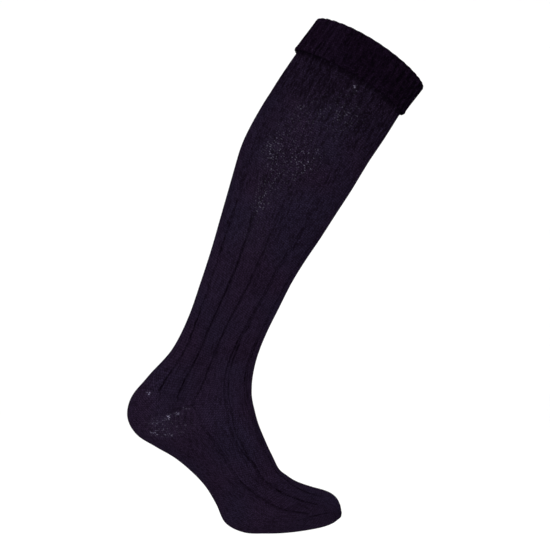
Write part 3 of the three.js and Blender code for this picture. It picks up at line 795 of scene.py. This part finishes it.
def make_sock():
    """Builds the seven pieces, each with its node and its wool."""
    # Each wool: dye, bluer dye, painted shade of its gaps, lint, and weight of its painted shade
    ribs = worsted_wool("worsted_wool_wide_rib", "#2b1f33", "#282135", "#0c060f", "#6c687a", 0.4)
    cuffs = worsted_wool("worsted_wool_cuff_rib", "#1d1122", "#1c1223", "#060308", "#40384a", 0.6)
    plain = worsted_wool("worsted_wool_plain_knit", "#2b1f33", "#282135", "#0c060f", "#847f98", 0.4)
    per_turn = WALE_COUNT * POINTS_PER_WALE
    around = np.arange(per_turn) * 360 / per_turn
    over = np.linspace(0, 180, per_turn // 2 + 1)
    under = np.linspace(-180, 0, per_turn // 2 + 1)

    def runs(angle):
        stations, run = run_down(angle)
        return lambda station: np.interp(station, stations, run)

    # Courses are counted down a line at one angle, and the instep's go on from the leg's at the corner
    side, top_of_foot, under_foot = 0, 45, -60
    side_run, top_run, sole_run = runs(side), runs(top_of_foot), runs(under_foot)
    to_instep = side_run(HEEL_CORNER) - top_run(HEEL_CORNER)

    cuff("turnover_cuff_knit", "turnover_cuff", cuffs, around)
    knit_wall("rib_top_knit", "rib_top", ribs, (0, PANEL_STATION), around,
              ribbed_height, CUFF_WALL, side_run)
    knit_wall("leg_knit", "leg", ribs, (PANEL_STATION, heel_top), around,
              ribbed_height, KNIT_WALL, side_run)
    knit_wall("heel_knit", "heel", plain, (heel_top, heel_under), under,
              heel_height, KNIT_WALL, sole_run, closed=False)
    knit_wall("instep_knit", "instep", ribs, (HEEL_CORNER, TOE_BORDER), over,
              ribbed_height, KNIT_WALL, lambda station: top_run(station) + to_instep, closed=False)
    knit_wall("sole_knit", "sole", plain, (heel_under, TOE_BORDER), under,
              plain_height, KNIT_WALL, sole_run, closed=False)
    knit_wall("toe_knit", "toe", plain, (TOE_BORDER, LAST_STATION), around,
              toe_height, KNIT_WALL, side_run, nose=True)


def make_stage():
    """A white paper sweep: a floor that curves up into a wall behind the sock."""
    below_sock, half_width, near, far, bend, wall_top = 0.06, 9.0, -9.0, 2.6, 0.6, 2.6
    turn = np.linspace(0, np.pi / 2, 13)
    y = np.r_[near, far - bend + bend * np.sin(turn), far]
    z = np.r_[0, bend - bend * np.cos(turn), wall_top] + cad_low.z - below_sock
    sides = [np.stack([np.full(len(y), x), y, z], -1) for x in (-half_width, half_width)]
    points = np.stack(sides, 1).reshape(-1, 3)
    numbers = np.arange(len(points)).reshape(-1, 2)
    mesh = bpy.data.meshes.new("paper_sweep")
    mesh.from_pydata(points.tolist(), [], quads(numbers)[:, ::-1].tolist())
    mesh.polygons.foreach_set("use_smooth", np.ones(len(mesh.polygons), bool))

    # Matt paper, which the eye sees only as an even white behind the sock
    paper = bpy.data.materials.new("matt_white_paper")
    paper.use_nodes = True
    shader = paper.node_tree.nodes["Principled BSDF"]
    shader.inputs["Base Color"].default_value = linear("#fafafa")
    shader.inputs["Roughness"].default_value = 1.0
    shader.inputs["Specular IOR Level"].default_value = 0.0
    mesh.materials.append(paper)
    sweep = bpy.data.objects.new("paper_sweep", mesh)
    bpy.context.scene.collection.objects.link(sweep)


def make_lights():
    """A white studio all round, and large soft boxes at the front and overhead."""
    world = bpy.data.worlds.new("white_studio")
    bpy.context.scene.world = world
    world.use_nodes = True
    background = world.node_tree.nodes["Background"]
    background.inputs["Color"].default_value = (1.0, 1.0, 1.0, 1.0)
    background.inputs["Strength"].default_value = 1.0
    centre = np.array(cad_low + cad_high) / 2

    # Each box's name, its place from the sock's middle and its side in metres, and its power in watts
    boxes = (
        ("front_softbox", (-0.6, -2.0, -0.2), 1.2, 12.0),
        ("overhead_softbox", (0.3, -0.2, 1.5), 1.6, 8.0),
    )
    for name, offset, size, power in boxes:
        lamp = bpy.data.lights.new(name, "AREA")
        lamp.shape, lamp.size, lamp.energy = "SQUARE", size, power
        holder = bpy.data.objects.new(name, lamp)
        holder.location = centre + np.array(offset)
        aim = Vector(-np.array(offset))
        holder.rotation_euler = aim.to_track_quat("-Z", "Y").to_euler()
        bpy.context.scene.collection.objects.link(holder)


def make_camera():
    """A level camera square to the sock's side, 1.49 m away, framed as the photograph is."""
    frame_side = 0.5775  # what the picture's 550 pixels take in at the sock, at 1.05 mm a pixel
    distance = 1.49
    frame_centre = (-0.0992, -0.2305)
    lens = bpy.data.cameras.new("camera")
    lens.sensor_width = 36.0
    lens.lens = lens.sensor_width * distance / frame_side
    lens.dof.use_dof = False
    camera = bpy.data.objects.new("camera", lens)
    camera.location = (frame_centre[0], -distance, frame_centre[1])
    camera.rotation_euler = (np.pi / 2, 0, 0)
    bpy.context.scene.collection.objects.link(camera)
    bpy.context.scene.camera = camera


make_camera()
make_sock()
make_stage()
make_lights()
bpy.context.scene.view_settings.view_transform = "Standard"
